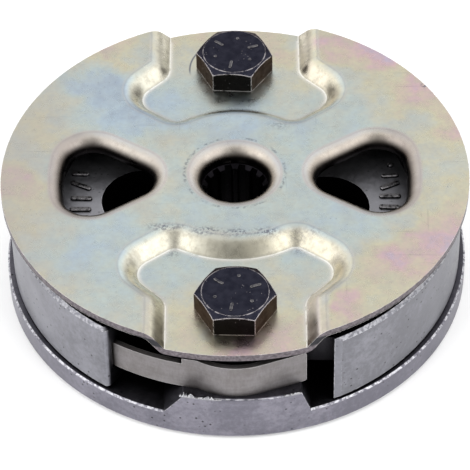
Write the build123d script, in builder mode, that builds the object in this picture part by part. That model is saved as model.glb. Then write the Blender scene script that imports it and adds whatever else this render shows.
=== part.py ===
"""Two-shoe centrifugal clutch.

A splined carrier drives two cast shoes, each pivoted on a bush that a bolt clamps
between a carrier boss and a pressed cover plate. Two leaf springs hold the shoes in.
The origin is the centre of the carrier's underside, +Z is up, the front is -Y, and
everything repeats after half a turn about Z.
"""
import os
from math import asin, atan2, cos, degrees, radians, sin, sqrt, tan

from build123d import *

# Rotor: the carrier's flange and the cover plate share one radius
rotor_radius = 44.0
pivot_share = 65 / 88
hub_share = 32.8 / 88
stack_height = 25.4

# Carrier
flange_thickness = 5.5
flange_top_chamfer = 0.3
flange_bottom_chamfer = 0.8
boss_height = 5.1
boss_left_top = 9.8
boss_left_foot = 13.35
boss_right_top = 11.8
boss_right_foot = 13.5
boss_inner_reach = 9.5
boss_corner_radius = 5.0
boss_edge_radius = 0.4
hub_step = 3.9
hub_chamfer = 0.6

# Spline in the carrier
spline_count = 14
spline_minor_radius = 5.35
spline_major_radius = 6.15
spline_root_width = 1.25
spline_mouth_width = 1.6
spline_lead_radius = 6.25
spline_lead_chamfer = 0.7

# Pivots and bolts
bolt_radius = 4.0
bolt_end_height = 2.47
bolt_end_chamfer = 1.0
bolt_head_flats = 13.0
bolt_head_height = 4.6
bolt_head_face_share = 0.94
bolt_head_chamfer_angle = 30.0
front_bolt_turn = -2.0
rear_bolt_turn = -4.0
thread_clearance = 0.03
bolt_clearance = 0.15
bush_radius = 6.0
bush_chamfer = 0.3

# Cover plate
sheet_thickness = 1.4
pad_depth = 2.93
pad_wall_run = 2.6
pad_half_width = 12.75
pad_shoulder_inset = 2.0
pad_lobe_x = 20.0
pad_lobe_inset = 9.3
pad_inner_inset = 12.4
pad_inner_corner_angle = 33.9
pad_shoulder_radius = 4.2
pad_lobe_radius = 4.0
pad_inner_corner_radius = 1.8
pad_crest_radius = 3.5
pad_foot_radius = 0.4
pad_overrun = 4.4
blank_margin = 17.0
window_tip_x = 11.1
window_half_angle = 32.6
window_rim_width = 11.6
window_tip_fillet_share = 5 / 21.3
window_corner_fillet_share = 5 / 21.3
window_depth = 3.2
window_bend = 3.0
centre_hole_radius = 6.3
centre_collar_depth = 3.6
centre_bend = 2.9

# Shoes
shoe_floor_gap = 0.3
shoe_cover_gap = 2.4
shoe_rim_step = 4.3
shoe_face_growth = 0.6
shoe_retraction = 1.8
shoe_hub_clearance = 0.5
shoe_rim_width = 10.5
shoe_free_end_angle = 57.5
shoe_pivot_end_x = 17.7
shoe_pivot_end_inset = 8.5
shoe_waist_x = 11.5
shoe_waist_y = 13.5
shoe_edge_chamfer = 0.6
shoe_end_facet = 1.5
shoe_end_facet_depth = 0.6
shoe_free_end_radius = 1.0
pocket_radius = 8.2
pocket_hub_offset = 0.9
pocket_angle = -3.9
eye_leaf_clearance = 0.6
eye_side_clearance = 0.15
pivot_clearance = 0.05
arm_step = 4.17
arm_front_reach = 2.0
arm_inner_inset = 8.7
arm_root_overlap = 1.0

# Leaf springs
leaf_thickness = 1.0
leaf_tongue_inset = 2.5
leaf_cover_gap = 3.17
leaf_step_height = 1.3
leaf_step_x = 9.8
leaf_tongue_reach = 6.0
leaf_kink_share = 7.3 / 13
leaf_kink_run_share = 0.8 / 13
leaf_bulge_radius = 13.0
leaf_bulge_inset = 1.0
leaf_tail_angle = 19.5
leaf_tail_x = 12.55
leaf_corner_radius = 0.5
slot_inner_clearance = 0.1
slot_outer_clearance = 0.5
slot_height_clearance = 0.3
slot_end_clearance = 1.5

# Radii and places that follow from the sizes above
pivot_radius = rotor_radius * pivot_share
hub_radius = rotor_radius * hub_share
hub_neck_radius = hub_radius - hub_step
pad_shoulder_y = pivot_radius - pad_shoulder_inset
pad_lobe_y = pivot_radius - pad_lobe_inset
pad_inner_radius = pivot_radius - pad_inner_inset
window_outer_radius = rotor_radius - window_rim_width
window_tip_fillet = (window_outer_radius - window_tip_x) * window_tip_fillet_share
window_corner_fillet = (window_outer_radius - window_tip_x) * window_corner_fillet_share
shoe_face_radius = rotor_radius + shoe_face_growth
shoe_bore_radius = hub_radius + shoe_hub_clearance
shoe_rim_inner_radius = rotor_radius - shoe_rim_width
shoe_pivot_end_y = pivot_radius - shoe_pivot_end_inset
pocket_centre_radius = hub_radius + pocket_hub_offset
arm_front_y = pivot_radius + arm_front_reach
arm_inner_y = pivot_radius - arm_inner_inset
leaf_tongue_radius = rotor_radius - leaf_tongue_inset
leaf_bulge_reach = rotor_radius - leaf_bulge_inset
eye_radius = leaf_bulge_reach - leaf_thickness - pivot_radius - eye_leaf_clearance
leaf_kink_x = leaf_bulge_radius * leaf_kink_share
leaf_kink_run = leaf_bulge_radius * leaf_kink_run_share

# Levels that follow from the sizes above
boss_top = flange_thickness + boss_height
cover_top = stack_height
pad_top = cover_top - pad_depth
pad_underside = pad_top - sheet_thickness
cover_underside = cover_top - sheet_thickness
hub_top = cover_top - centre_collar_depth
shoe_bottom = flange_thickness + shoe_floor_gap
shoe_top = cover_underside - shoe_cover_gap
web_top = shoe_top - shoe_rim_step
bush_length = pad_underside - boss_top
eye_bottom = boss_top + eye_side_clearance
eye_top = pad_underside - eye_side_clearance
arm_height = eye_top - eye_bottom - arm_step
leaf_pad_height = bush_length - leaf_cover_gap
leaf_tongue_height = leaf_pad_height - leaf_step_height
boss_root = flange_thickness - flange_top_chamfer * 2
wall_taper = degrees(atan2(pad_wall_run, pad_depth))
underside_offset = sheet_thickness * tan(radians((90 - wall_taper) / 2))

os.makedirs("parts", exist_ok=True)


def save(builder, name):
    """Labels a finished piece and writes it as its own file."""
    builder.part.label = name
    export_step(builder.part, f"parts/{name}.step")


def ring_edges(shape, radius):
    """Every circular edge of one radius."""
    circles = shape.edges().filter_by(GeomType.CIRCLE)
    return circles.filter_by(lambda e: abs(e.radius - radius) < 1e-6)


# Raised boss of the carrier, at the front: its flanks lean and its outer face is the flange's own cylinder
with BuildPart() as boss:
    with BuildSketch(Plane.XZ.offset(pivot_radius - boss_inner_reach)):
        with BuildLine():
            Polyline(
                (-boss_left_foot, boss_root),
                (-boss_left_foot, flange_thickness),
                (-boss_left_top, boss_top),
                (boss_right_top, boss_top),
                (boss_right_foot, flange_thickness),
                (boss_right_foot, boss_root),
                close=True,
            )
        make_face()
    extrude(amount=rotor_radius)
    inner_corners = boss.faces().sort_by(Axis.Y)[-1].edges().filter_by(Axis.X, reverse=True)
    fillet(inner_corners.filter_by(lambda e: e.length > boss_height), boss_corner_radius)
    with BuildSketch(Plane.XY):
        Circle(rotor_radius)
    extrude(amount=boss_top, mode=Mode.INTERSECT)
    fillet(boss.faces().sort_by(Axis.Z)[-1].edges(), boss_edge_radius)

with BuildPart() as carrier:
    with BuildSketch(Plane.XY):
        Circle(rotor_radius)
    extrude(amount=flange_thickness)
    chamfer(carrier.edges().sort_by(Axis.Z)[-1], flange_top_chamfer)
    chamfer(carrier.edges().sort_by(Axis.Z)[0], flange_bottom_chamfer)
    add(boss.part)
    add(boss.part.rotate(Axis.Z, 180))
    with BuildSketch(Plane.XY.offset(flange_thickness)):
        Circle(hub_radius)
    extrude(amount=web_top - flange_thickness)
    with BuildSketch(Plane.XY.offset(web_top)):
        Circle(hub_neck_radius)
    extrude(amount=hub_top - web_top)
    chamfer(carrier.edges().filter_by(GeomType.CIRCLE).sort_by(Axis.Z)[-1], hub_chamfer)
    chamfer(ring_edges(carrier, hub_radius).sort_by(Axis.Z)[-1], hub_chamfer)
    spline_mouth_x = sqrt(spline_minor_radius ** 2 - (spline_mouth_width / 2) ** 2)
    with BuildSketch(Plane.XY):
        Circle(spline_minor_radius)
        with PolarLocations(0, spline_count):
            Polygon(
                (0, 0),
                (spline_mouth_x, -spline_mouth_width / 2),
                (spline_major_radius, -spline_root_width / 2),
                (spline_major_radius, spline_root_width / 2),
                (spline_mouth_x, spline_mouth_width / 2),
                align=None,
            )
    extrude(amount=hub_top, mode=Mode.SUBTRACT)
    lead_inner_radius = spline_lead_radius - spline_lead_chamfer
    with Locations((0, 0, spline_lead_chamfer / 2)):
        Cone(spline_lead_radius, lead_inner_radius, spline_lead_chamfer, mode=Mode.SUBTRACT)
    with Locations((0, 0, hub_top - spline_lead_chamfer / 2)):
        Cone(lead_inner_radius, spline_lead_radius, spline_lead_chamfer, mode=Mode.SUBTRACT)
    with BuildSketch(Plane.XY):
        with PolarLocations(pivot_radius, 2, start_angle=-90):
            Circle(bolt_radius + thread_clearance)
    extrude(amount=boss_top, mode=Mode.SUBTRACT)
save(carrier, "carrier")

# Hexagon bolt whose head has a turned chamfer ring, and the bush that it clamps
def bolt(centre_y, turn, name):
    chamfer_flat = bolt_head_flats / 2 * bolt_head_face_share
    corner_radius = bolt_head_flats / sqrt(3)
    chamfer_drop = (corner_radius - chamfer_flat) * tan(radians(bolt_head_chamfer_angle))
    head_top = pad_top + bolt_head_height
    with BuildPart() as piece:
        with BuildSketch(Plane((0, centre_y, pad_top))):
            RegularPolygon(bolt_head_flats / 2, 6, major_radius=False, rotation=turn)
        extrude(amount=bolt_head_height)
        with BuildSketch(Plane((0, centre_y, 0), x_dir=(1, 0, 0), z_dir=(0, -1, 0))):
            Polygon(
                (0, pad_top),
                (corner_radius, pad_top),
                (corner_radius, head_top - chamfer_drop),
                (chamfer_flat, head_top),
                (0, head_top),
                align=None,
            )
        revolve(axis=Axis((0, centre_y, 0), (0, 0, 1)), mode=Mode.INTERSECT)
        with BuildSketch(Plane((0, centre_y, bolt_end_height))):
            Circle(bolt_radius)
        extrude(amount=pad_top - bolt_end_height)
        chamfer(piece.edges().sort_by(Axis.Z)[0], bolt_end_chamfer)
    save(piece, name)


def bush(centre_y, name):
    with BuildPart() as piece:
        with BuildSketch(Plane((0, centre_y, boss_top))):
            Circle(bush_radius)
            Circle(bolt_radius + bolt_clearance, mode=Mode.SUBTRACT)
        extrude(amount=bush_length)
        chamfer(ring_edges(piece, bush_radius), bush_chamfer)
    save(piece, name)


bolt(-pivot_radius, front_bolt_turn, "bolt_front")
bolt(pivot_radius, rear_bolt_turn, "bolt_rear")
bush(-pivot_radius, "pivot_bush_front")
bush(pivot_radius, "pivot_bush_rear")

# Outline of the front pad's flat floor, open past the rim, with two side lobes and an arc round the hub
inner_corner_x = pad_inner_radius * sin(radians(pad_inner_corner_angle))
inner_corner_y = -pad_inner_radius * cos(radians(pad_inner_corner_angle))
with BuildSketch() as pad_floor:
    with BuildLine():
        Polyline(
            (-inner_corner_x, inner_corner_y),
            (-pad_lobe_x, -pad_lobe_y),
            (-pad_half_width, -pad_shoulder_y),
            (-pad_half_width, -rotor_radius - pad_overrun),
            (pad_half_width, -rotor_radius - pad_overrun),
            (pad_half_width, -pad_shoulder_y),
            (pad_lobe_x, -pad_lobe_y),
            (inner_corner_x, inner_corner_y),
        )
        ThreePointArc(
            (inner_corner_x, inner_corner_y),
            (0, -pad_inner_radius),
            (-inner_corner_x, inner_corner_y),
        )
    make_face()
    corners = pad_floor.vertices()
    fillet(corners.filter_by(lambda v: abs(v.Y + pad_shoulder_y) < 0.01), pad_shoulder_radius)
    lobes = pad_floor.vertices().filter_by(lambda v: abs(v.Y + pad_lobe_y) < 0.01)
    fillet(lobes, pad_lobe_radius)
    inner_corners = pad_floor.vertices().filter_by(lambda v: abs(v.Y - inner_corner_y) < 0.01)
    fillet(inner_corners, pad_inner_corner_radius)
    outside_corners = pad_floor.vertices().filter_by(lambda v: v.Y < -rotor_radius)
    fillet(outside_corners, pad_shoulder_radius)

# Outline of a window's drawn collar, on its inner face: a wedge that widens towards the rim
window_slope = tan(radians(window_half_angle))
edge_a = 1 + window_slope ** 2
edge_b = -2 * window_slope ** 2 * window_tip_x
edge_c = (window_slope * window_tip_x) ** 2 - window_outer_radius ** 2
window_corner_x = (-edge_b + sqrt(edge_b ** 2 - 4 * edge_a * edge_c)) / (2 * edge_a)
window_corner_y = window_slope * (window_corner_x - window_tip_x)
with BuildSketch() as window_outline:
    with BuildLine():
        Polyline(
            (window_corner_x, window_corner_y),
            (window_tip_x, 0),
            (window_corner_x, -window_corner_y),
        )
        ThreePointArc(
            (window_corner_x, -window_corner_y),
            (window_outer_radius, 0),
            (window_corner_x, window_corner_y),
        )
    make_face()
    fillet(window_outline.vertices().sort_by(Axis.X)[0], window_tip_fillet)
    fillet(window_outline.vertices().filter_by(lambda v: abs(abs(v.Y) - window_corner_y) < 0.01),
           window_corner_fillet)

# Cover plate: a sheet pressed down into two bolt pads, cut to a disc, with collars drawn down at its openings
with BuildPart() as cover_plate:
    with BuildSketch(Plane.XY.offset(cover_underside)):
        Circle(rotor_radius + blank_margin)
    extrude(amount=sheet_thickness)
    for half_turn in (0, 180):
        with BuildSketch(Plane.XY.offset(pad_underside)):
            add(pad_floor.sketch.rotate(Axis.Z, half_turn))
            offset(amount=underside_offset)
        extrude(amount=pad_depth, taper=-wall_taper)
    for half_turn in (0, 180):
        with BuildSketch(Plane.XY.offset(pad_top)):
            add(pad_floor.sketch.rotate(Axis.Z, half_turn))
        extrude(amount=pad_depth, taper=-wall_taper, mode=Mode.SUBTRACT)
    crests = cover_plate.faces().sort_by(Axis.Z)[-1].inner_wires()
    fillet([edge for wire in crests for edge in wire.edges()], pad_crest_radius)
    floors = cover_plate.faces().filter_by(Axis.Z).filter_by(lambda f: abs(f.center().Z - pad_top) < 1e-6)
    fillet(floors.edges(), pad_foot_radius)
    undersides = cover_plate.faces().filter_by(Axis.Z).sort_by(Axis.Z)
    fillet(undersides[:2].edges(), pad_foot_radius + sheet_thickness)
    cover_undersides = cover_plate.faces().filter_by(lambda f: abs(f.center().Z - cover_underside) < 1e-6)
    hollows = cover_undersides.sort_by(SortBy.AREA)[-1].inner_wires()
    fillet([edge for wire in hollows for edge in wire.edges()], pad_crest_radius - sheet_thickness)
    with BuildSketch(Plane.XY):
        Circle(rotor_radius)
    extrude(amount=cover_top, mode=Mode.INTERSECT)

    for half_turn in (0, 180):
        with BuildSketch(Plane.XY.offset(cover_top - window_depth)):
            add(window_outline.sketch.rotate(Axis.Z, half_turn))
            offset(amount=sheet_thickness)
        extrude(amount=window_depth - sheet_thickness)
    with BuildSketch(Plane.XY.offset(cover_top - centre_collar_depth)):
        Circle(centre_hole_radius + sheet_thickness)
    extrude(amount=centre_collar_depth - sheet_thickness)
    with BuildSketch(Plane.XY):
        for half_turn in (0, 180):
            add(window_outline.sketch.rotate(Axis.Z, half_turn))
        Circle(centre_hole_radius)
    extrude(amount=cover_top, mode=Mode.SUBTRACT)
    lips = cover_plate.faces().filter_by(Axis.Z).sort_by(Axis.Z)[-1].inner_wires()
    lips = lips.sort_by_distance((0, 0, cover_top))
    fillet([edge for lip in lips[1:] for edge in lip.edges()], window_bend)
    fillet(ring_edges(cover_plate, centre_hole_radius).sort_by(Axis.Z)[-1], centre_bend)
    cover_undersides = cover_plate.faces().filter_by(lambda f: abs(f.center().Z - cover_underside) < 1e-6)
    collars = cover_undersides.sort_by(SortBy.AREA)[-1].inner_wires()
    collars = collars.sort_by_distance((0, 0, cover_underside))
    fillet([edge for collar in collars[1:] for edge in collar.edges()], window_bend - sheet_thickness)
    fillet(ring_edges(cover_plate, centre_hole_radius + sheet_thickness).sort_by(Axis.Z)[-1],
           centre_bend - sheet_thickness)
    with BuildSketch(Plane.XY):
        with PolarLocations(pivot_radius, 2, start_angle=-90):
            Circle(bolt_radius + bolt_clearance)
    extrude(amount=cover_top, mode=Mode.SUBTRACT)
save(cover_plate, "cover_plate")

# Right shoe, pivoted at the front bolt: a full-height rim, a lower web, an eye on an arm and a spring slot
reach = 2 * shoe_face_radius
free_end = radians(shoe_free_end_angle)
slot_inner = leaf_tongue_radius - leaf_thickness - slot_inner_clearance
slot_outer = leaf_tongue_radius + slot_outer_clearance
slot_floor_angle = free_end - (leaf_tongue_reach + slot_end_clearance) / leaf_tongue_radius
slot_bottom = boss_top - slot_height_clearance
slot_height = leaf_tongue_height + 2 * slot_height_clearance
pocket_x = pocket_centre_radius * cos(radians(pocket_angle))
pocket_y = pocket_centre_radius * sin(radians(pocket_angle))
with BuildPart() as shoe:
    with BuildSketch(Plane.XY.offset(shoe_bottom)):
        with Locations((-shoe_retraction, 0)):
            Circle(shoe_face_radius)
        Circle(shoe_bore_radius, mode=Mode.SUBTRACT)
        Polygon(
            (0, 0),
            (shoe_waist_x, -shoe_waist_y),
            (shoe_pivot_end_x, -shoe_pivot_end_y),
            (shoe_pivot_end_x, -reach),
            (reach, -reach),
            (reach, reach * sin(free_end)),
            (reach * cos(free_end), reach * sin(free_end)),
            align=None,
            mode=Mode.INTERSECT,
        )
    extrude(amount=shoe_top - shoe_bottom)
    with BuildSketch(Plane.XY.offset(web_top)):
        Circle(shoe_rim_inner_radius)
    extrude(amount=shoe_top - web_top, mode=Mode.SUBTRACT)
    end_corner = shoe.edges().filter_by(Axis.Z).sort_by_distance((shoe_pivot_end_x, -shoe_face_radius, 0))[0]
    chamfer(end_corner, shoe_end_facet, shoe_end_facet_depth)
    free_corner = shoe.edges().filter_by(Axis.Z).sort_by_distance(
        (shoe_face_radius * cos(free_end), shoe_face_radius * sin(free_end), 0)
    )[0]
    fillet(free_corner, shoe_free_end_radius)
    chamfer(ring_edges(shoe, shoe_face_radius), shoe_edge_chamfer)
    with BuildSketch(Plane.XY.offset(shoe_bottom)):
        with Locations((pocket_x, pocket_y)):
            Circle(pocket_radius)
    extrude(amount=shoe_top - shoe_bottom, mode=Mode.SUBTRACT)
    with BuildSketch(Plane.XY.offset(eye_bottom)):
        with Locations((0, -pivot_radius)):
            Circle(eye_radius)
    extrude(amount=eye_top - eye_bottom)
    with BuildSketch(Plane.XY.offset(eye_bottom)):
        Polygon(
            (0, -arm_front_y),
            (shoe_pivot_end_x + arm_root_overlap, -arm_front_y),
            (shoe_pivot_end_x + arm_root_overlap, -arm_inner_y),
            (0, -arm_inner_y),
            align=None,
        )
    extrude(amount=arm_height)
    with BuildSketch(Plane.XY.offset(eye_bottom)):
        with Locations((0, -pivot_radius)):
            Circle(bush_radius + pivot_clearance)
    extrude(amount=eye_top - eye_bottom, mode=Mode.SUBTRACT)
    with BuildSketch(Plane.XY.offset(slot_bottom)):
        Circle(slot_outer)
        Circle(slot_inner, mode=Mode.SUBTRACT)
        Polygon(
            (0, 0),
            (reach * cos(slot_floor_angle), reach * sin(slot_floor_angle)),
            (0, reach),
            align=None,
            mode=Mode.INTERSECT,
        )
    extrude(amount=slot_height, mode=Mode.SUBTRACT)
save(shoe, "shoe_right")

with BuildPart() as shoe_left:
    add(shoe.part.rotate(Axis.Z, 180))
save(shoe_left, "shoe_left")

# Front leaf spring: a strip on edge whose tongue enters the left shoe and whose bow rounds the pivot
tongue_line_radius = leaf_tongue_radius - leaf_thickness / 2
bow_line_radius = leaf_bulge_radius - leaf_thickness / 2
bow_centre_y = leaf_bulge_radius - leaf_bulge_reach
tongue_end = free_end + radians(180) - leaf_tongue_reach / leaf_tongue_radius
kink_angle = radians(-90) - asin(leaf_kink_x / tongue_line_radius)
bow_start_angle = radians(-90) - asin((leaf_kink_x - leaf_kink_run) / bow_line_radius)
tail_angle = radians(leaf_tail_angle)
tongue_tip = (tongue_line_radius * cos(tongue_end), tongue_line_radius * sin(tongue_end))
kink = (tongue_line_radius * cos(kink_angle), tongue_line_radius * sin(kink_angle))
mid_angle = (tongue_end - radians(360) + kink_angle) / 2
tongue_mid = (tongue_line_radius * cos(mid_angle), tongue_line_radius * sin(mid_angle))
bow_start = (bow_line_radius * cos(bow_start_angle), bow_centre_y + bow_line_radius * sin(bow_start_angle))
bow_end = (bow_line_radius * sin(tail_angle), bow_centre_y - bow_line_radius * cos(tail_angle))
tail_rise = (leaf_tail_x - bow_end[0]) * tan(tail_angle)
with BuildPart() as leaf:
    with BuildSketch(Plane.XY.offset(boss_top)):
        with BuildLine() as strip:
            ThreePointArc(tongue_tip, tongue_mid, kink)
            Spline(
                kink,
                bow_start,
                tangents=((-sin(kink_angle), cos(kink_angle)), (-sin(bow_start_angle), cos(bow_start_angle))),
            )
            ThreePointArc(bow_start, (0, bow_centre_y - bow_line_radius), bow_end)
            Line(bow_end, (leaf_tail_x, bow_end[1] + tail_rise))
        trace(strip.line, line_width=leaf_thickness)
    extrude(amount=leaf_pad_height)
    with BuildSketch(Plane.XY.offset(boss_top + leaf_tongue_height)):
        with Locations((-leaf_step_x, 0)):
            Rectangle(reach, reach, align=(Align.MAX, Align.CENTER))
    extrude(amount=leaf_pad_height, mode=Mode.SUBTRACT)
    tail_corners = leaf.faces().sort_by(Axis.X)[-1].edges().filter_by(
        lambda e: abs(e.length - leaf_thickness) < 0.01
    )
    fillet(tail_corners, leaf_corner_radius)
save(leaf, "leaf_spring_front")

with BuildPart() as leaf_rear:
    add(leaf.part.rotate(Axis.Z, 180))
save(leaf_rear, "leaf_spring_rear")
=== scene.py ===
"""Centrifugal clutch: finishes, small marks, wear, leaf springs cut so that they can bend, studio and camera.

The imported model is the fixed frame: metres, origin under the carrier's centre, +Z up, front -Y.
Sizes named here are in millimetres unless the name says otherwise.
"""
import math
import random

import bmesh
import bpy
from mathutils import Matrix, Vector


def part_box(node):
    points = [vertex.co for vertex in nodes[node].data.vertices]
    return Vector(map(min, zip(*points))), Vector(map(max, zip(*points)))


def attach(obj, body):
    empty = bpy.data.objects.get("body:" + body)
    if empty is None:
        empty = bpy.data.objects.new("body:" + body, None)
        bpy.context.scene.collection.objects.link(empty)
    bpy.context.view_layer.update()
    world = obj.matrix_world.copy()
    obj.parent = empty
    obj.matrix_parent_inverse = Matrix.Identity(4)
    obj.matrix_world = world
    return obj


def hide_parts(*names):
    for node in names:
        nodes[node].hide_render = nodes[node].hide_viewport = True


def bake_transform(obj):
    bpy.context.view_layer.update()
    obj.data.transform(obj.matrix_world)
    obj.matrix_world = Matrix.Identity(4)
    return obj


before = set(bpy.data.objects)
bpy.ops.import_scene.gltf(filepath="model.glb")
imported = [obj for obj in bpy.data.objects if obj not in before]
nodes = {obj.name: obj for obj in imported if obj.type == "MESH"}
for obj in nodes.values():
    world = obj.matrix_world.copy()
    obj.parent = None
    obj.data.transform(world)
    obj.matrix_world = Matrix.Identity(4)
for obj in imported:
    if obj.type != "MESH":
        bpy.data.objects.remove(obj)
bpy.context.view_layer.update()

MM = 0.001

# Levels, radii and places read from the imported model, in millimetres
cover_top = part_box("cover_plate")[1].z / MM
rotor_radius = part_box("cover_plate")[1].x / MM
head_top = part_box("bolt_front")[1].z / MM
boss_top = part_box("leaf_spring_front")[0].z / MM
shoe_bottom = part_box("shoe_right")[0].z / MM
bolt_places = {}
for bolt_name in ("bolt_front", "bolt_rear"):
    low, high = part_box(bolt_name)
    bolt_places[bolt_name] = (low + high) / 2 / MM
pivot_y = bolt_places["bolt_rear"].y

# Sizes that the model's boxes don't give. The washer's is the one that a rub on the rear pad shows.
sheet_thickness = 1.4
pad_depth = 2.93
pad_level = cover_top - pad_depth
centre_lip_radius = 9.5
washer_radius = 8.8
crown_radius = 6.11
web_top = shoe_bottom + 11.5


def direction(azimuth, elevation):
    """Unit vector towards an azimuth, anticlockwise from +X, and an elevation, in degrees."""
    a, e = math.radians(azimuth), math.radians(elevation)
    return Vector((math.cos(a) * math.cos(e), math.sin(a) * math.cos(e), math.sin(e)))


class Shading:
    """A shader tree, with one short call for each kind of node used here."""

    def __init__(self, tree):
        self.tree = tree

    def put(self, socket, value):
        """Links an output to the socket, or sets the socket's own value."""
        if isinstance(value, bpy.types.NodeSocket):
            self.tree.links.new(value, socket)
        else:
            socket.default_value = value

    def add(self, kind, inputs=None, **settings):
        """A new node with the given inputs, by name or number, and settings."""
        node = self.tree.nodes.new(kind)
        for key, value in settings.items():
            setattr(node, key, value)
        for key, value in (inputs or {}).items():
            self.put(node.inputs[key], value)
        return node

    def math(self, operation, a, b=0.0):
        """One step of arithmetic."""
        return self.add("ShaderNodeMath", {0: a, 1: b}, operation=operation).outputs[0]

    def times(self, *values):
        """The product of the values."""
        product = values[0]
        for value in values[1:]:
            product = self.math("MULTIPLY", product, value)
        return product

    def vector(self, operation, a, b=(0, 0, 0)):
        """One step with vectors, which gives a number where the operation does."""
        node = self.add("ShaderNodeVectorMath", {0: a, 1: b}, operation=operation)
        scalar = operation in ("DISTANCE", "DOT_PRODUCT", "LENGTH")
        return node.outputs["Value" if scalar else "Vector"]

    def smooth(self, value, low, high, to=(0.0, 1.0)):
        """0 at low, 1 at high, or the two values of to, with soft ends."""
        inputs = {"Value": value, "From Min": low, "From Max": high, "To Min": to[0], "To Max": to[1]}
        return self.add("ShaderNodeMapRange", inputs, interpolation_type="SMOOTHSTEP").outputs["Result"]

    def blend(self, factor, a, b):
        """Number a where the factor is 0, b where it is 1."""
        return self.math("ADD", a, self.times(factor, self.math("SUBTRACT", b, a)))

    def mix(self, factor, a, b):
        """Colour a where the factor is 0, b where it is 1."""
        node = self.add("ShaderNodeMix", data_type="RGBA")
        for key, value in (("Factor_Float", factor), ("A_Color", a), ("B_Color", b)):
            if isinstance(value, tuple):
                value = (*value, 1.0)
            self.put(next(s for s in node.inputs if s.identifier == key), value)
        return next(s for s in node.outputs if s.identifier == "Result_Color")

    def ramp(self, value, stops):
        """Colour that runs through the stops as the value rises from 0 to 1."""
        node = self.add("ShaderNodeValToRGB", {"Fac": value})
        elements = node.color_ramp.elements
        while len(elements) < len(stops):
            elements.new(1.0)
        for element, (position, color) in zip(elements, stops):
            element.position = position
            element.color = (*color, 1.0)
        return node.outputs["Color"]


class Finish(Shading):
    """A material that is coloured by place on the object, in millimetres."""

    def __init__(self, name):
        self.material = bpy.data.materials.new(name)
        self.material.use_nodes = True
        super().__init__(self.material.node_tree)
        self.shader = self.tree.nodes["Principled BSDF"]
        metres = self.add("ShaderNodeTexCoord").outputs["Object"]
        self.place = self.vector("SCALE", metres)
        self.place.node.inputs["Scale"].default_value = 1 / MM
        self.x, self.y, self.z = self.add("ShaderNodeSeparateXYZ", {"Vector": self.place}).outputs
        self.normal = self.add("ShaderNodeNewGeometry").outputs["Normal"]
        self.rise = self.add("ShaderNodeSeparateXYZ", {"Vector": self.normal}).outputs["Z"]
        flat = self.vector("MULTIPLY", self.place, (1, 1, 0))
        self.radius = self.vector("LENGTH", flat)
        self.outward = self.vector("DOT_PRODUCT", self.vector("NORMALIZE", flat), self.normal)

    def noise(self, size, detail=3.0, roughness=0.5, stretch=(1, 1, 1), shift=(0, 0, 0), distortion=0.0):
        """Noise whose lumps are about size millimetres across, drawn out by stretch."""
        place = self.add("ShaderNodeMapping", {"Vector": self.place, "Location": shift})
        place.inputs["Scale"].default_value = [1 / (size * s) for s in stretch]
        inputs = {
            "Vector": place.outputs["Vector"],
            "Scale": 1.0,
            "Detail": detail,
            "Roughness": roughness,
            "Distortion": distortion,
        }
        return self.add("ShaderNodeTexNoise", inputs).outputs["Fac"]

    def pits(self, size, share):
        """1 in scattered round pits about size millimetres apart, each share of that in radius."""
        voronoi = self.add("ShaderNodeTexVoronoi", {"Vector": self.place, "Scale": 1 / size})
        return self.smooth(voronoi.outputs["Distance"], share, share / 2)

    def drift(self, size, reach):
        """The place, pushed aside by up to about reach millimetres, so that soft shapes turn uneven."""
        noise = self.add("ShaderNodeTexNoise", {"Vector": self.place, "Scale": 1 / size, "Detail": 4.0})
        push = self.vector("SUBTRACT", noise.outputs["Color"], (0.5, 0.5, 0.5))
        return self.vector("ADD", self.place, self.vector("MULTIPLY", push, (4 * reach, 4 * reach, 0)))

    def spot(self, x, y, radius, flatness=1.0, place=None):
        """1 at a point of the plan view, falling softly to 0 at radius, or sooner along y if flat."""
        away = self.vector("SUBTRACT", place or self.place, (x, y, 0))
        away = self.vector("MULTIPLY", away, (1, flatness, 0))
        return self.smooth(self.vector("LENGTH", away), radius, 0.0)

    def ring(self, x, y, radius, width):
        """1 along a circle of the plan view, falling to 0 at half the width to each side."""
        away = self.vector("SUBTRACT", self.place, (x, y, 0))
        away = self.vector("LENGTH", self.vector("MULTIPLY", away, (1, 1, 0)))
        off = self.math("ABSOLUTE", self.math("SUBTRACT", away, radius))
        return self.smooth(off, width / 2, 0.0)

    def edges(self, radius, low=0.01, high=0.08):
        """1 along sharp edges, out to about radius millimetres."""
        round_normal = self.add("ShaderNodeBevel", {"Radius": radius * MM}, samples=6).outputs["Normal"]
        bend = self.math("SUBTRACT", 1.0, self.vector("DOT_PRODUCT", round_normal, self.normal))
        return self.smooth(bend, low, high)

    def soften(self, radius, share):
        """The normal, turned as if edges were rounded to radius millimetres, where share is 1."""
        rounded = self.add("ShaderNodeBevel", {"Radius": radius * MM}, samples=8).outputs["Normal"]
        turn = self.vector("SCALE", self.vector("SUBTRACT", rounded, self.normal))
        self.put(turn.node.inputs["Scale"], share)
        return self.vector("NORMALIZE", self.vector("ADD", self.normal, turn))

    def shelter(self, reach, low, high):
        """1 where neighbours within reach millimetres close a place off, 0 where it lies open."""
        inputs = {"Distance": reach * MM}
        open_share = self.add("ShaderNodeAmbientOcclusion", inputs, samples=12).outputs["AO"]
        return self.smooth(open_share, high, low)

    def bump(self, height, depth, normal=None):
        """Bump of the given depth in millimetres for a height from 0 to 1."""
        inputs = {"Height": height, "Distance": depth * MM, "Strength": 1.0}
        if normal is not None:
            inputs["Normal"] = normal
        return self.add("ShaderNodeBump", inputs).outputs["Normal"]

    def finish(self, color, metallic, roughness, normal=None):
        """Sets the shader's sockets and returns the finished material."""
        self.put(self.shader.inputs["Base Color"], color)
        self.put(self.shader.inputs["Metallic"], metallic)
        self.put(self.shader.inputs["Roughness"], roughness)
        if normal is not None:
            self.put(self.shader.inputs["Normal"], normal)
        return self.material


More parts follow.
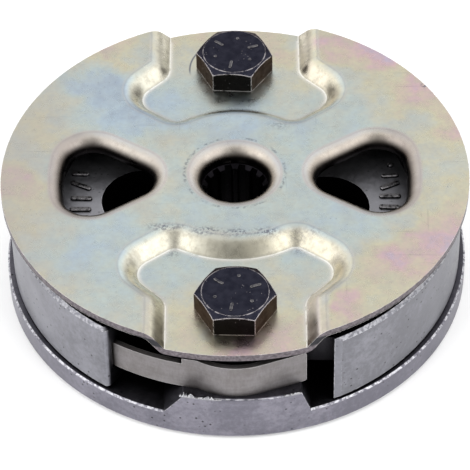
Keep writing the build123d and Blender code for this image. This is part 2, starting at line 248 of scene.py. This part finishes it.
# Colours of the plating's thin film as it thickens, from blue through straw and pink to lilac
film_colors = [
    (0.00, (0.40, 0.48, 0.60)),
    (0.18, (0.53, 0.64, 0.72)),
    (0.34, (0.60, 0.68, 0.65)),
    (0.48, (0.66, 0.67, 0.58)),
    (0.60, (0.72, 0.68, 0.50)),
    (0.72, (0.72, 0.61, 0.50)),
    (0.82, (0.75, 0.54, 0.56)),
    (0.92, (0.65, 0.54, 0.66)),
    (1.00, (0.56, 0.57, 0.69)),
]

# Places where the film is thinner or thicker than elsewhere: x, y, radius, film and strength
film_patches = [
    (-28, 25, 11, 0.08, 1.0),
    (-18, 18, 13, 0.12, 0.9),
    (-26, 34, 7, 0.76, 0.9),
    (-36, 22, 8, 0.58, 0.8),
    (-43, -2, 7, 0.80, 0.9),
    (-40, -9, 7, 0.62, 0.7),
    (-41, -17, 6, 0.78, 0.9),
    (-33, -30, 6, 0.74, 0.9),
    (-27, -20, 13, 0.24, 1.0),
    (-30, -26, 7, 0.18, 0.6),
    (-20, -32, 9, 0.28, 0.9),
    (-13, 8, 7, 0.66, 0.5),
    (-15, -9, 7, 0.50, 0.7),
    (1, 15, 8, 0.18, 0.9),
    (11, 12, 6, 0.12, 0.7),
    (16, 8, 8, 0.42, 0.6),
    (10, -5, 9, 0.36, 0.9),
    (25, -15, 9, 0.30, 0.9),
    (18, 34, 6, 0.80, 0.9),
    (28, 33, 9, 0.92, 1.0),
    (36, 22, 7, 0.86, 0.9),
    (28, 24, 8, 0.56, 0.9),
    (41, 10, 7, 0.84, 0.9),
    (38, 4, 8, 0.54, 0.9),
    (41, -9, 7, 0.64, 0.9),
    (38, -17, 9, 0.84, 1.0),
    (31, -25, 10, 0.87, 1.0),
    (24, -23, 6, 0.58, 0.7),
    (26, -33, 8, 0.60, 0.8),
    (20, -35, 6, 0.86, 0.8),
    (-7, 31, 9, 0.40, 0.9),
    (10, 38, 6, 0.74, 0.9),
    (11, 29, 8, 0.54, 0.9),
    (-13, -23, 9, 0.30, 0.9),
    (-10, -35, 9, 0.66, 0.9),
    (11, -27, 9, 0.52, 0.9),
    (7, -39, 8, 0.74, 0.9),
    (0, -44, 8, 0.86, 0.9),
]

# Dark stains, rubs and nicks on the cover plate: x, y, radius, flatness and strength
stains = [
    (36.9, 23.8, 1.3, 1.0, 1.0),
    (-11.6, -17.6, 2.4, 1.0, 0.7),
    (11.8, -17.4, 2.6, 1.0, 0.6),
    (-12.5, -14.2, 5.5, 3.6, 1.0),
    (-5.5, -15.3, 4.5, 2.8, 1.0),
    (0.3, -15.9, 4.5, 2.8, 0.9),
    (6.0, -15.7, 5.0, 2.8, 0.9),
    (12.5, -15.8, 5.0, 2.6, 0.8),
    (8.5, 13.0, 3.5, 2.0, 0.4),
]


def film_color(g, soft_rise):
    """The film's colour: wide patches with a fine ripple, clouds, and one tone on the pressed walls, with a
    painted shade towards the left.
    """
    film = g.smooth(g.radius, 22, 43, to=(0.34, 0.56))
    wide = g.smooth(g.noise(15, detail=2.5, distortion=0.6), 0.25, 0.75, to=(-0.10, 0.10))
    film = g.math("ADD", film, wide)
    wandering = g.drift(9, 4)
    for x, y, radius, level, strength in film_patches:
        film = g.blend(g.times(g.spot(x, y, radius * 1.25, place=wandering), strength), film, level)
    ripple = g.smooth(g.noise(4, detail=5, roughness=0.65), 0.2, 0.8, to=(-0.10, 0.10))
    film = g.math("ADD", film, ripple)
    wall_film = g.smooth(g.x, -14, 20, to=(0.55, 0.74))
    film = g.blend(g.smooth(soft_rise, 0.99, 0.75, to=(0.0, 0.75)), film, wall_film)
    color = g.ramp(film, film_colors)

    cloud = g.smooth(g.noise(6, detail=5, roughness=0.65), 0.35, 0.8, to=(0.0, 0.30))
    color = g.mix(cloud, color, (0.44, 0.44, 0.46))
    mottle = g.smooth(g.noise(0.9, detail=5, roughness=0.75), 0.32, 0.72, to=(0.0, 0.20))
    color = g.mix(mottle, color, (0.34, 0.35, 0.38))
    # Painted shade: the left side of the plate darker.
    left_shade = g.smooth(g.x, -24, -44, to=(0.0, 0.45))
    return g.mix(left_shade, color, (0.45, 0.42, 0.40))


def plate_marks(g, fine):
    """How dark the plate's scratches, specks, rubbed rings and stains are, 0 where there are none."""
    scratches = g.noise(0.4, detail=2, stretch=(26, 1, 1), distortion=0.3)
    scratches = g.times(g.smooth(scratches, 0.66, 0.72), g.smooth(g.noise(9), 0.46, 0.60))
    crossed = g.noise(0.4, detail=2, stretch=(2, 22, 1), shift=(3, 9, 0), distortion=0.4)
    crossed = g.times(g.smooth(crossed, 0.69, 0.75), g.smooth(g.noise(8, shift=(7, 1, 0)), 0.52, 0.64))
    scratches = g.math("MAXIMUM", scratches, crossed)
    specks = g.times(g.pits(1.3, 0.12), g.smooth(g.noise(9, shift=(5, 5, 5)), 0.40, 0.60))
    lip_rub = g.times(g.ring(0, 0, centre_lip_radius, 1.0), g.smooth(g.noise(2.5), 0.42, 0.55))
    lip_rub = g.times(lip_rub, g.smooth(fine, 0.40, 0.60))
    washer_rub = g.times(g.ring(0, pivot_y, washer_radius, 0.6), g.smooth(g.x, -6.4, -7.4))
    washer_rub = g.times(washer_rub, g.smooth(g.y, pivot_y - 2, pivot_y))
    marks = g.math("MAXIMUM", g.times(scratches, 0.14), g.times(specks, 0.35))
    marks = g.math("MAXIMUM", marks, g.times(lip_rub, 0.65))
    marks = g.math("MAXIMUM", marks, g.times(washer_rub, 0.9))
    for x, y, size, flatness, strength in stains:
        stain = g.times(g.spot(x, y, size, flatness), g.smooth(fine, 0.44, 0.58), strength)
        marks = g.math("MAXIMUM", marks, stain)
    return marks


def wall_color(g, color, soft_rise, fine):
    """The plate's colour with the pads' walls: streaked, with painted shade at the feet and along the crests,
    a painted sheen, a painted dark reflection at the front, and painted highlights where they glow and glint.
    """
    # Painted shade along the shoulders of the bends.
    shoulder_shade = g.times(g.smooth(soft_rise, 0.9995, 0.99), g.smooth(g.rise, 0.96, 0.99))
    color = g.mix(g.times(shoulder_shade, 0.35), color, (0.25, 0.26, 0.30))
    # Painted shade in the crease at the foot of the walls, broken up by noise.
    foot = g.times(g.smooth(g.z, pad_level + 0.50, pad_level + 0.20), g.smooth(g.rise, 0.88, 0.72))
    color = g.mix(g.times(foot, g.smooth(fine, 0.30, 0.50), 0.6), color, (0.15, 0.14, 0.13))

    wall = g.smooth(soft_rise, 0.985, 0.82)
    # Painted sheen: the walls painted pale cream, as they catch the light.
    color = g.mix(g.times(wall, 0.5), color, (0.90, 0.84, 0.68))
    streak = g.smooth(g.noise(1.3, detail=5, roughness=0.7, stretch=(1, 1, 2)), 0.42, 0.66)
    color = g.mix(g.times(streak, wall, 0.45), color, (0.36, 0.33, 0.26))
    # Painted dark reflection: the middle of the front pad's wall darker.
    front_dark_reflection = g.times(g.smooth(g.math("ABSOLUTE", g.x), 9, 3), g.smooth(g.y, -8, -12))
    color = g.mix(g.times(front_dark_reflection, wall, 0.52), color, (0.28, 0.27, 0.22))
    glow = g.times(g.smooth(soft_rise, 0.9995, 0.985), g.smooth(g.rise, 0.985, 0.999))
    color = g.mix(g.times(glow, 0.45), color, (0.94, 0.89, 0.80))

    # Painted shade along the crests of the walls at the front.
    crest_shade = g.times(g.smooth(soft_rise, 0.999, 0.975), g.smooth(soft_rise, 0.84, 0.93))
    side_wall = g.smooth(g.y, -26, -30)
    color = g.mix(g.times(crest_shade, side_wall, 0.38), color, (0.36, 0.33, 0.33))
    # Painted highlight: the steep faces of the front walls, on the right, painted pale pink.
    right_face_highlight = g.times(g.smooth(soft_rise, 0.90, 0.80), side_wall, g.smooth(g.x, 4, 10))
    color = g.mix(g.times(right_face_highlight, 0.75), color, (0.97, 0.88, 0.84))
    glint = g.times(g.smooth(g.z, pad_level + 0.12, pad_level + 0.04), g.smooth(g.rise, 0.9999, 0.996))
    glint = g.times(glint, g.smooth(g.rise, 0.72, 0.85), g.smooth(g.noise(1.6, detail=4), 0.34, 0.50))
    return g.mix(g.times(glint, 0.60), color, (0.97, 0.95, 0.90))


def collar_color(g, color, soft_rise):
    """The plate's colour with the collars of the windows and centre hole, painted near black inside as shade
    and darker on the windows' outer bends.
    """
    steep = g.smooth(soft_rise, 0.9995, 0.99)
    side_x = g.math("ABSOLUTE", g.x)
    wedge = g.math("SUBTRACT", g.math("ABSOLUTE", g.y), g.times(side_x, 0.64))
    at_window = g.times(g.smooth(side_x, 10.2, 11.2), g.smooth(wedge, 1.0, 0.0))
    at_centre = g.smooth(g.radius, centre_lip_radius + 0.4, centre_lip_radius)
    collar = g.math("MAXIMUM", at_window, at_centre)
    color = g.mix(g.times(collar, steep, 0.50), color, (0.58, 0.49, 0.47))
    # Painted shade on the bends at the windows' outer ends.
    outer_lip_shade = g.times(at_window, g.smooth(soft_rise, 0.9995, 0.97), g.smooth(side_x, 27.5, 30.5))
    color = g.mix(g.times(outer_lip_shade, 0.40), color, (0.27, 0.23, 0.23))
    # Painted shade: the collars near black inside the holes.
    centre_hole_shade = g.times(at_centre, g.smooth(soft_rise, 0.92, 0.20))
    window_hole_shade = g.times(at_window, g.smooth(soft_rise, 0.985, 0.30))
    return g.mix(g.times(g.math("MAXIMUM", centre_hole_shade, window_hole_shade), 0.97), color, (0.020, 0.016, 0.017))


def rim_color(g, color, sheared, fine):
    """The plate's colour with its sheared rim, torn along the lower side and bright along its edges."""
    depth = g.math("SUBTRACT", cover_top, g.z)
    ragged = g.math("ADD", depth, g.times(g.noise(0.8, detail=4, stretch=(2, 2, 1)), 0.5))
    torn = g.smooth(ragged, sheet_thickness * 0.95, sheet_thickness * 1.1)
    torn = g.times(torn, g.smooth(g.z, pad_level, pad_level + 0.3))
    shear_tone = g.mix(g.smooth(fine, 0.3, 0.7), (0.10, 0.088, 0.095), (0.25, 0.22, 0.24))
    shear_tone = g.mix(torn, shear_tone, (0.045, 0.045, 0.050))
    color = g.mix(sheared, color, shear_tone)
    burnished = g.times(g.edges(0.14), g.smooth(g.radius, rotor_radius - 0.5, rotor_radius - 0.3))
    burnished = g.times(burnished, g.smooth(g.noise(1.4, detail=4), 0.36, 0.56))
    burnished = g.times(burnished, g.smooth(depth, pad_depth + 0.67, pad_depth + 0.47))
    return g.mix(burnished, color, (0.88, 0.83, 0.80))


def zinc_plate():
    """Yellow iridescent zinc: a thin film whose thickness, and so its colour, drifts over the sheet."""
    g = Finish("zinc_plate")
    soft = g.soften(1.6, g.smooth(g.radius, rotor_radius - 0.8, rotor_radius - 2.0))
    soft_rise = g.add("ShaderNodeSeparateXYZ", {"Vector": soft}).outputs["Z"]
    fine = g.noise(0.5, detail=4, roughness=0.65)
    marks = plate_marks(g, fine)
    sheared = g.times(g.smooth(g.radius, rotor_radius - 0.25, rotor_radius - 0.1), g.smooth(g.rise, 0.8, 0.4))

    color = g.mix(marks, film_color(g, soft_rise), (0.13, 0.14, 0.19))
    color = wall_color(g, color, soft_rise, fine)
    color = collar_color(g, color, soft_rise)
    color = rim_color(g, color, sheared, fine)
    underside = g.smooth(g.rise, -0.2, -0.6)
    color = g.mix(underside, color, (0.52, 0.51, 0.46))
    # Painted shade: near black where neighbours shut a place in, as under the plate.
    color = g.mix(g.shelter(12, 0.10, 0.45), color, (0.008, 0.008, 0.009))

    roughness = g.smooth(g.noise(2.5, detail=5), 0.25, 0.8, to=(0.24, 0.38))
    roughness = g.blend(sheared, roughness, 0.5)
    height = g.math("SUBTRACT", fine, g.times(marks, 0.8))
    return g.finish(color, 1.0, roughness, g.bump(height, 0.012, soft))


def black_oxide():
    """Blue-black oxide on top, browner flats, bright where edges are worn; the faces towards the front and
    the recesses are painted near black as shade.
    """
    g = Finish("black_oxide")
    top = g.smooth(g.rise, 0.5, 0.9)
    mottle = g.smooth(g.noise(1.6, detail=4), 0.3, 0.7)
    flats = g.mix(mottle, (0.028, 0.021, 0.019), (0.064, 0.052, 0.047))
    # Painted shade: the faces towards the front painted near black.
    front = g.smooth(g.vector("DOT_PRODUCT", g.normal, (0, -1, 0)), 0.70, 0.90, to=(0.0, 0.90))
    flats = g.mix(front, flats, (0.007, 0.007, 0.007))
    crown = g.mix(mottle, (0.017, 0.018, 0.030), (0.030, 0.031, 0.047))
    color = g.mix(top, flats, crown)
    worn = g.smooth(g.noise(0.8, detail=4), 0.30, 0.48)
    wear = g.times(g.edges(0.32), worn)
    rings = g.math("MAXIMUM", *(g.ring(0, y, crown_radius, 0.34) for y in (pivot_y, -pivot_y)))
    ring_wear = g.times(rings, top, g.smooth(g.noise(1.3, detail=4), 0.46, 0.60), 0.5)
    dust = g.times(g.pits(0.7, 0.16), g.smooth(g.noise(2.4), 0.5, 0.6), 0.35)
    bright = g.math("MAXIMUM", g.math("MAXIMUM", wear, ring_wear), dust)
    color = g.mix(bright, color, (0.72, 0.67, 0.68))
    g.put(g.shader.inputs["Specular Tint"], (0.50, 0.45, 0.42, 1))
    # Painted shade: near black in the recesses.
    color = g.mix(g.shelter(5, 0.05, 0.50), color, (0.006, 0.006, 0.007))
    roughness = g.smooth(g.noise(1.0, detail=4), 0.3, 0.7, to=(0.26, 0.42))
    return g.finish(color, 0.9, roughness, g.bump(g.noise(0.6, detail=3), 0.015))


def grey_metal(name, dark, light, relief, open_radius, facet, chamfer_wear):
    """Cast or sintered iron: mottled, pitted, bright at its edges, with painted light that darkens it towards
    the right, and painted black with shade inside the rotor.

    Dark and light are the mottling's colours, and relief is its depth. Beyond open_radius no painted
    shade is laid. Facet lightens faces square to Y, and chamfer_wear is how bright the upper chamfer is.
    """
    g = Finish(name)
    pits = g.times(g.pits(1.3, 0.20), g.smooth(g.noise(5), 0.44, 0.58))
    mottle = g.noise(1.1, detail=5, roughness=0.7)
    cloud = g.noise(8, detail=3)
    tone = g.math("ADD", g.times(mottle, 0.6), g.times(cloud, 0.4))
    # Painted light: the tone darker towards the right and a little lighter towards the left.
    tone = g.math("ADD", tone, g.smooth(g.x, 40, -40, to=(-0.08, 0.02)))
    color = g.mix(g.smooth(tone, 0.34, 0.66), dark, light)
    color = g.mix(g.times(pits, 0.9), color, (0.02, 0.02, 0.02))
    along_y = g.math("ABSOLUTE", g.vector("DOT_PRODUCT", g.normal, (0, 1, 0)))
    color = g.mix(g.smooth(along_y, 0.985, 0.995, to=(0.0, facet)), color, light)
    chamfer = g.times(g.smooth(g.rise, 0.55, 0.65), g.smooth(g.outward, 0.50, 0.60))
    broken = g.smooth(g.noise(0.7, detail=5, roughness=0.65), 0.42, 0.58)
    rubbed = g.times(g.math("MAXIMUM", g.edges(0.20), g.times(chamfer, chamfer_wear)), broken)
    color = g.mix(rubbed, color, (0.85, 0.85, 0.89))
    rim = g.times(g.smooth(g.radius, open_radius - 0.4, open_radius), g.smooth(g.outward, 0.30, 0.60))
    under = g.smooth(g.z, 1.0, 0.5)
    inside = g.math("SUBTRACT", 1.0, g.math("MAXIMUM", rim, under))
    # Painted light: the webs' top faces are painted paler and get less of the painted shade, as light falls
    # on them through the windows.
    off_web = g.math("ABSOLUTE", g.math("SUBTRACT", g.z, web_top))
    web = g.times(g.smooth(off_web, 0.2, 0.1), g.smooth(g.rise, 0.8, 0.9))
    inside = g.times(inside, g.blend(web, 1.0, 0.38))
    color = g.mix(g.times(web, inside, 0.8), color, (0.62, 0.62, 0.65))
    # Painted shade: the hub's splines deep in the centre hole painted near black.
    hub_shade = g.times(g.smooth(g.radius, 9.0, 8.6), g.smooth(g.z, 1.0, 2.0))
    # Painted shade: near black where neighbours shut a place in, inside the rotor.
    interior_shade = g.math("MAXIMUM", g.times(g.shelter(24, 0.30, 0.80), inside), hub_shade)
    color = g.mix(interior_shade, color, (0.008, 0.007, 0.009))
    height = g.math("SUBTRACT", mottle, pits)
    roughness = g.smooth(mottle, 0.3, 0.7, to=(0.32, 0.48))
    return g.finish(color, 0.95, roughness, g.bump(height, relief))


def spring_steel():
    """Oiled strip: grey-brown, rolled along its length, bright along its cut edges, with painted shade in its
    creases and where it is shut in.
    """
    g = Finish("spring_steel")
    rolled = g.noise(0.5, detail=4, roughness=0.6, stretch=(7, 7, 1))
    cloud = g.noise(3.0, detail=5)
    grain = g.noise(0.4, detail=4, roughness=0.7, stretch=(1, 1, 3))
    tone = g.math("ADD", g.times(rolled, 0.2), g.math("ADD", g.times(cloud, 0.5), g.times(grain, 0.3)))
    color = g.mix(g.smooth(tone, 0.34, 0.66), (0.175, 0.160, 0.158), (0.265, 0.250, 0.255))
    color = g.mix(g.times(g.edges(0.16), 0.8), color, (0.80, 0.79, 0.78))
    # Painted shade: dark in tight creases.
    color = g.mix(g.shelter(1.6, 0.40, 0.80), color, (0.03, 0.025, 0.022))
    inner = g.smooth(g.radius, 38.0, 36.5)
    upper = g.smooth(g.rise, 0.5, 0.9)
    # Painted shade: near black on the inner side and the top faces where neighbours shut the strip in.
    leaf_shade = g.times(g.shelter(24, 0.10, 0.55), g.math("MAXIMUM", inner, upper))
    color = g.mix(leaf_shade, color, (0.010, 0.009, 0.009))
    roughness = g.smooth(cloud, 0.3, 0.7, to=(0.30, 0.44))
    return g.finish(color, 0.6, g.math("ADD", roughness, 0.08), g.bump(rolled, 0.005))


def worn_mark(name, foot_tone, top_tone, foot, top, relief):
    """Raised marks and burrs: the tone of what they stand on at the foot, rubbed bright on top."""
    g = Finish(name)
    bright = g.math("MAXIMUM", g.edges(0.16, 0.005, 0.05), 0.25)
    bright = g.times(bright, g.smooth(g.z, foot, top), g.smooth(g.noise(0.6, detail=3), 0.30, 0.55))
    color = g.mix(bright, foot_tone, top_tone)
    return g.finish(color, 0.95, 0.36, g.bump(g.noise(0.3), relief))


finishes = {
    "zinc": zinc_plate(),
    "black": black_oxide(),
    "shoe": grey_metal(
        "sintered_shoe",
        dark=(0.18, 0.18, 0.20),
        light=(0.30, 0.30, 0.335),
        relief=0.02,
        open_radius=42.0,
        facet=0.3,
        chamfer_wear=0.35,
    ),
    "carrier": grey_metal(
        "cast_carrier",
        dark=(0.175, 0.17, 0.205),
        light=(0.30, 0.29, 0.34),
        relief=0.03,
        open_radius=43.5,
        facet=0.0,
        chamfer_wear=0.8,
    ),
    "spring": spring_steel(),
    "mark": worn_mark(
        "worn_head_mark",
        foot_tone=(0.04, 0.04, 0.05),
        top_tone=(0.40, 0.38, 0.38),
        foot=head_top,
        top=head_top + 0.10,
        relief=0.01,
    ),
    "cast_mark": worn_mark(
        "cast_mark",
        foot_tone=(0.01, 0.01, 0.01),
        top_tone=(0.62, 0.60, 0.62),
        foot=web_top,
        top=web_top + 0.4,
        relief=0.02,
    ),
    "burr": worn_mark(
        "bright_burr",
        foot_tone=(0.25, 0.25, 0.27),
        top_tone=(0.90, 0.90, 0.93),
        foot=boss_top - 0.3,
        top=boss_top,
        relief=0.03,
    ),
}
node_finishes = {
    "carrier": "carrier",
    "cover_plate": "zinc",
    "bolt_front": "black",
    "bolt_rear": "black",
    "pivot_bush_front": "spring",
    "pivot_bush_rear": "spring",
    "leaf_spring_front": "spring",
    "leaf_spring_rear": "spring",
    "shoe_left": "shoe",
    "shoe_right": "shoe",
}
for node_name, finish_name in node_finishes.items():
    for material_slot in nodes[node_name].material_slots:
        material_slot.material = finishes[finish_name]


def add_piece(name, shape, body, finish_name):
    """Turns a bmesh in millimetres into a piece that rides a body, or on none yet."""
    bmesh.ops.scale(shape, vec=(MM, MM, MM), verts=shape.verts)
    bmesh.ops.recalc_face_normals(shape, faces=shape.faces)
    mesh = bpy.data.meshes.new(name)
    shape.to_mesh(mesh)
    shape.free()
    mesh.materials.append(finishes[finish_name])
    piece = bpy.data.objects.new(name, mesh)
    bpy.context.scene.collection.objects.link(piece)
    if body:
        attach(piece, body)
    return piece


def loft(shape, rings):
    """Skins a row of point rings, with a face over each end."""
    rows = [[shape.verts.new(point) for point in ring] for ring in rings]
    for below, above in zip(rows, rows[1:]):
        for i in range(len(below)):
            j = (i + 1) % len(below)
            shape.faces.new((below[i], below[j], above[j], above[i]))
    shape.faces.new(rows[0])
    shape.faces.new(rows[-1])


def raised_bar(shape, centre, along, length, width, floor, height):
    """A low bar with round ends and soft shoulders, whose foot is sunk a little into the floor."""
    along = along.normalized()
    across = Vector((-along.y, along.x, 0))
    straight = max(length - width, 0) / 2
    sides = 8

    def ring(grow, z):
        half = width / 2 * grow
        points = []
        for end in (1, -1):
            for step in range(sides + 1):
                turn = math.pi * (step / sides - 0.5)
                ahead = end * (straight + half * math.cos(turn))
                aside = end * half * math.sin(turn)
                points.append(centre + along * ahead + across * aside + Vector((0, 0, z)))
        return points

    levels = ((1.15, floor - 0.06), (1.0, floor), (0.85, floor + height * 0.8), (0.55, floor + height))
    loft(shape, [ring(grow, z) for grow, z in levels])


def head_marks(bolt_name):
    """Plain raised bars and dots in a ring on a bolt's head, in place of the real head's lettering."""
    place = bolt_places[bolt_name]
    centre = Vector((place.x, place.y, 0))
    marks_radius = 3.9
    shape = bmesh.new()
    for step in range(6):
        away = direction(60 * step + 20, 0)
        length, width, height = (0.75, 0.7, 0.12) if step % 2 else (2.2, 0.6, 0.14)
        raised_bar(shape, centre + away * marks_radius, away, length, width, head_top, height)
    add_piece(f"{bolt_name}_marks", shape, "rotor", "mark")


# Bars on the right shoe's web, each with its centre, direction in degrees and length
cast_bars = [
    (29.8, 9.8, 12, 1.2),
    (29.6, 6.9, 4, 3.4),
    (29.5, 4.2, 26, 4.2),
    (29.4, 1.3, 0, 4.2),
    (29.3, -1.7, -3, 4.2),
    (29.5, -5.2, -28, 4.4),
    (29.7, -8.4, -4, 3.4),
]


def web_marks(name, body, half_turn):
    """Plain raised bars on a shoe's web, in place of the real casting's lettering."""
    shape = bmesh.new()
    for x, y, turn, length in cast_bars:
        along = direction(turn, 0) * half_turn
        raised_bar(shape, Vector((x, y, 0)) * half_turn, along, length, 1.1, web_top, 0.5)
    add_piece(name, shape, body, "cast_mark")


def burr(name, first, last, height, seed):
    """Ragged lip pushed up along the front edge of the front boss, between two places x."""
    chance = random.Random(seed)
    shape = bmesh.new()
    steps = max(4, round((last - first) / 0.22))
    rings = []
    for step in range(steps + 1):
        x = first + (last - first) * step / steps
        fade = math.sin(math.pi * (step + 0.3) / (steps + 0.6))
        rise = (0.06 + height * chance.random()) * fade
        width = 0.18 + 0.28 * chance.random()
        edge = -math.sqrt((rotor_radius - 0.02) ** 2 - x * x)
        lean = 0.10 * chance.random()
        rings.append(
            [
                Vector((x, edge, boss_top - 0.30)),
                Vector((x, edge - lean, boss_top + rise * 0.6)),
                Vector((x, edge + width * 0.4, boss_top + rise)),
                Vector((x, edge + width, boss_top - 0.05)),
            ]
        )
    loft(shape, rings)
    add_piece(name, shape, "rotor", "burr")


def bending_leaf(node_name, half_turn):
    """A copy of a leaf spring as the model has it, cut across so that its tongue can bend as the shoe that it
    holds swings out.

    The cuts run between its root beside the boss and the mouth of the shoe's slot, and give it
    the edges to bend along.
    """
    shape = bmesh.new()
    shape.from_mesh(nodes[node_name].data)
    bmesh.ops.scale(shape, vec=(1 / MM, 1 / MM, 1 / MM), verts=shape.verts)
    bmesh.ops.remove_doubles(shape, verts=shape.verts, dist=0.001)
    root = Vector((-7.6, -40.8, 0)) * half_turn
    mouth = Vector((-22.0, -34.6, 0)) * half_turn
    cuts = 14
    for step in range(cuts + 1):
        parts = [*shape.verts, *shape.edges, *shape.faces]
        place = root.lerp(mouth, step / cuts)
        bmesh.ops.bisect_plane(shape, geom=parts, dist=0.001, plane_co=place, plane_no=mouth - root)
    for face in shape.faces:
        face.smooth = True
    for edge in shape.edges:
        edge.smooth = edge.calc_face_angle(0.0) < math.radians(30)
    piece = add_piece(f"bending_{node_name}", shape, None, "spring")
    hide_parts(node_name)
    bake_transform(piece)


for bolt_name in bolt_places:
    head_marks(bolt_name)
web_marks("shoe_right_marks", "right_shoe", 1)
web_marks("shoe_left_marks", "left_shoe", -1)
bending_leaf("leaf_spring_front", 1)
bending_leaf("leaf_spring_rear", -1)
burr("boss_burr_corner", first=-10.4, last=-7.6, height=1.60, seed=3)
burr("boss_burr_left", first=-7.5, last=-2.8, height=0.55, seed=5)
burr("boss_burr_right", first=8.6, last=11.6, height=0.40, seed=8)


# Azimuth, elevation, half width in degrees and strength of what shines in the reflections
soft_boxes = [
    (-155, 28, 20, 0.6),
    (-25, 28, 20, 0.6),
    (-90, 40, 27, -0.40),
]

# Name, azimuth, elevation, width in metres and strength of the soft lamps, and their distance in metres
lamps = [
    ("lamp_left", -140, 50, 0.30, 2.0),
    ("lamp_right", -45, 50, 0.30, 1.6),
    ("lamp_top", 60, 80, 0.60, 3.0),
]
lamp_distance = 0.7

# How far the floor lies under the part, in millimetres, so that the two don't flicker
floor_gap = 0.02


def surroundings():
    """White for the camera, an even grey for soft light, and a studio with soft boxes for reflections."""
    world = bpy.data.worlds.new("studio")
    bpy.context.scene.world = world
    world.use_nodes = True
    g = Shading(world.node_tree)
    g.tree.nodes.clear()
    view = g.add("ShaderNodeTexCoord").outputs["Generated"]
    aside, _, height = g.add("ShaderNodeSeparateXYZ", {"Vector": view}).outputs
    room = g.smooth(height, -0.1, 0.6, to=(0.42, 0.80))
    domes = g.times(g.smooth(g.math("ABSOLUTE", aside), 0.04, 0.24), g.smooth(height, 0.15, 0.50), 0.42)
    room = g.math("ADD", room, domes)
    for azimuth, elevation, width, gain in soft_boxes:
        toward = g.vector("DOT_PRODUCT", view, tuple(direction(azimuth, elevation)))
        edge = math.cos(math.radians(width))
        lit = g.smooth(toward, edge - 0.10, edge + 0.03, to=(0.0, gain))
        room = g.math("ADD", room, lit)
    room = g.math("MAXIMUM", room, 0.03)
    rays = g.add("ShaderNodeLightPath").outputs
    soft = g.add("ShaderNodeBackground", {"Color": (1, 1, 1, 1), "Strength": 0.62}).outputs[0]
    gloss = g.add("ShaderNodeBackground", {"Color": (1, 1, 1, 1), "Strength": room}).outputs[0]
    white = g.add("ShaderNodeBackground", {"Color": (1, 1, 1, 1), "Strength": 1.0}).outputs[0]
    seen = g.add("ShaderNodeMixShader", {0: rays["Is Glossy Ray"], 1: soft, 2: gloss}).outputs[0]
    seen = g.add("ShaderNodeMixShader", {0: rays["Is Camera Ray"], 1: seen, 2: white}).outputs[0]
    g.add("ShaderNodeOutputWorld", {"Surface": seen})


def studio():
    """Pale floor, clear from below so that the underside can be seen, and soft lamps."""
    floor_mesh = bpy.data.meshes.new("floor")
    reach = 40 * rotor_radius * MM
    level = -floor_gap * MM
    corners = [(-reach, -reach, level), (reach, -reach, level), (reach, reach, level), (-reach, reach, level)]
    floor_mesh.from_pydata(corners, [], [(0, 1, 2, 3)])
    floor = bpy.data.objects.new("floor", floor_mesh)
    bpy.context.scene.collection.objects.link(floor)
    pale = Finish("pale_floor")
    pale.put(pale.shader.inputs["Emission Color"], (1, 1, 1, 1))
    pale.put(pale.shader.inputs["Emission Strength"], 0.35)
    floor_mesh.materials.append(pale.finish((0.60, 0.60, 0.60, 1), 0.0, 0.9))
    clear = pale.add("ShaderNodeBsdfTransparent").outputs[0]
    below = pale.normal.node.outputs["Backfacing"]
    sheer = pale.add("ShaderNodeMixShader", {0: below, 1: pale.shader.outputs[0], 2: clear}).outputs[0]
    pale.put(pale.tree.nodes["Material Output"].inputs["Surface"], sheer)

    for name, azimuth, elevation, width, strength in lamps:
        lamp_data = bpy.data.lights.new(name, "AREA")
        lamp_data.size = width
        lamp_data.energy = strength
        lamp = bpy.data.objects.new(name, lamp_data)
        bpy.context.scene.collection.objects.link(lamp)
        toward = direction(azimuth, elevation)
        lamp.location = toward * lamp_distance
        lamp.rotation_euler = toward.to_track_quat("Z", "Y").to_euler()
        lamp.visible_glossy = False


def camera():
    """The photograph's camera, as fitted: angles in degrees, distances in millimetres."""
    azimuth, elevation, roll = (math.radians(value) for value in (0.67, 45.03, 1.19))
    distance = 523.4
    aim_right, aim_up = 0.04, -11.74
    focal_pixels, frame_pixels, sensor_width = 2786.3, 470, 36.0
    back = direction(math.degrees(azimuth) - 90, math.degrees(elevation))
    level_right = Vector((math.cos(azimuth), math.sin(azimuth), 0))
    level_up = back.cross(level_right)
    right = level_right * math.cos(roll) - level_up * math.sin(roll)
    up = level_right * math.sin(roll) + level_up * math.cos(roll)
    aim = (Vector((0, 0, cover_top)) + right * aim_right + up * aim_up) * MM
    data = bpy.data.cameras.new("camera")
    data.sensor_fit = "HORIZONTAL"
    data.sensor_width = sensor_width
    data.lens = focal_pixels / frame_pixels * sensor_width
    data.clip_end = 10
    eye = bpy.data.objects.new("camera", data)
    axes = Matrix((right, up, back)).transposed().to_4x4()
    eye.matrix_world = Matrix.Translation(aim + back * distance * MM) @ axes
    bpy.context.scene.collection.objects.link(eye)
    bpy.context.scene.camera = eye


surroundings()
studio()
camera()
bpy.context.scene.view_settings.view_transform = "Standard"
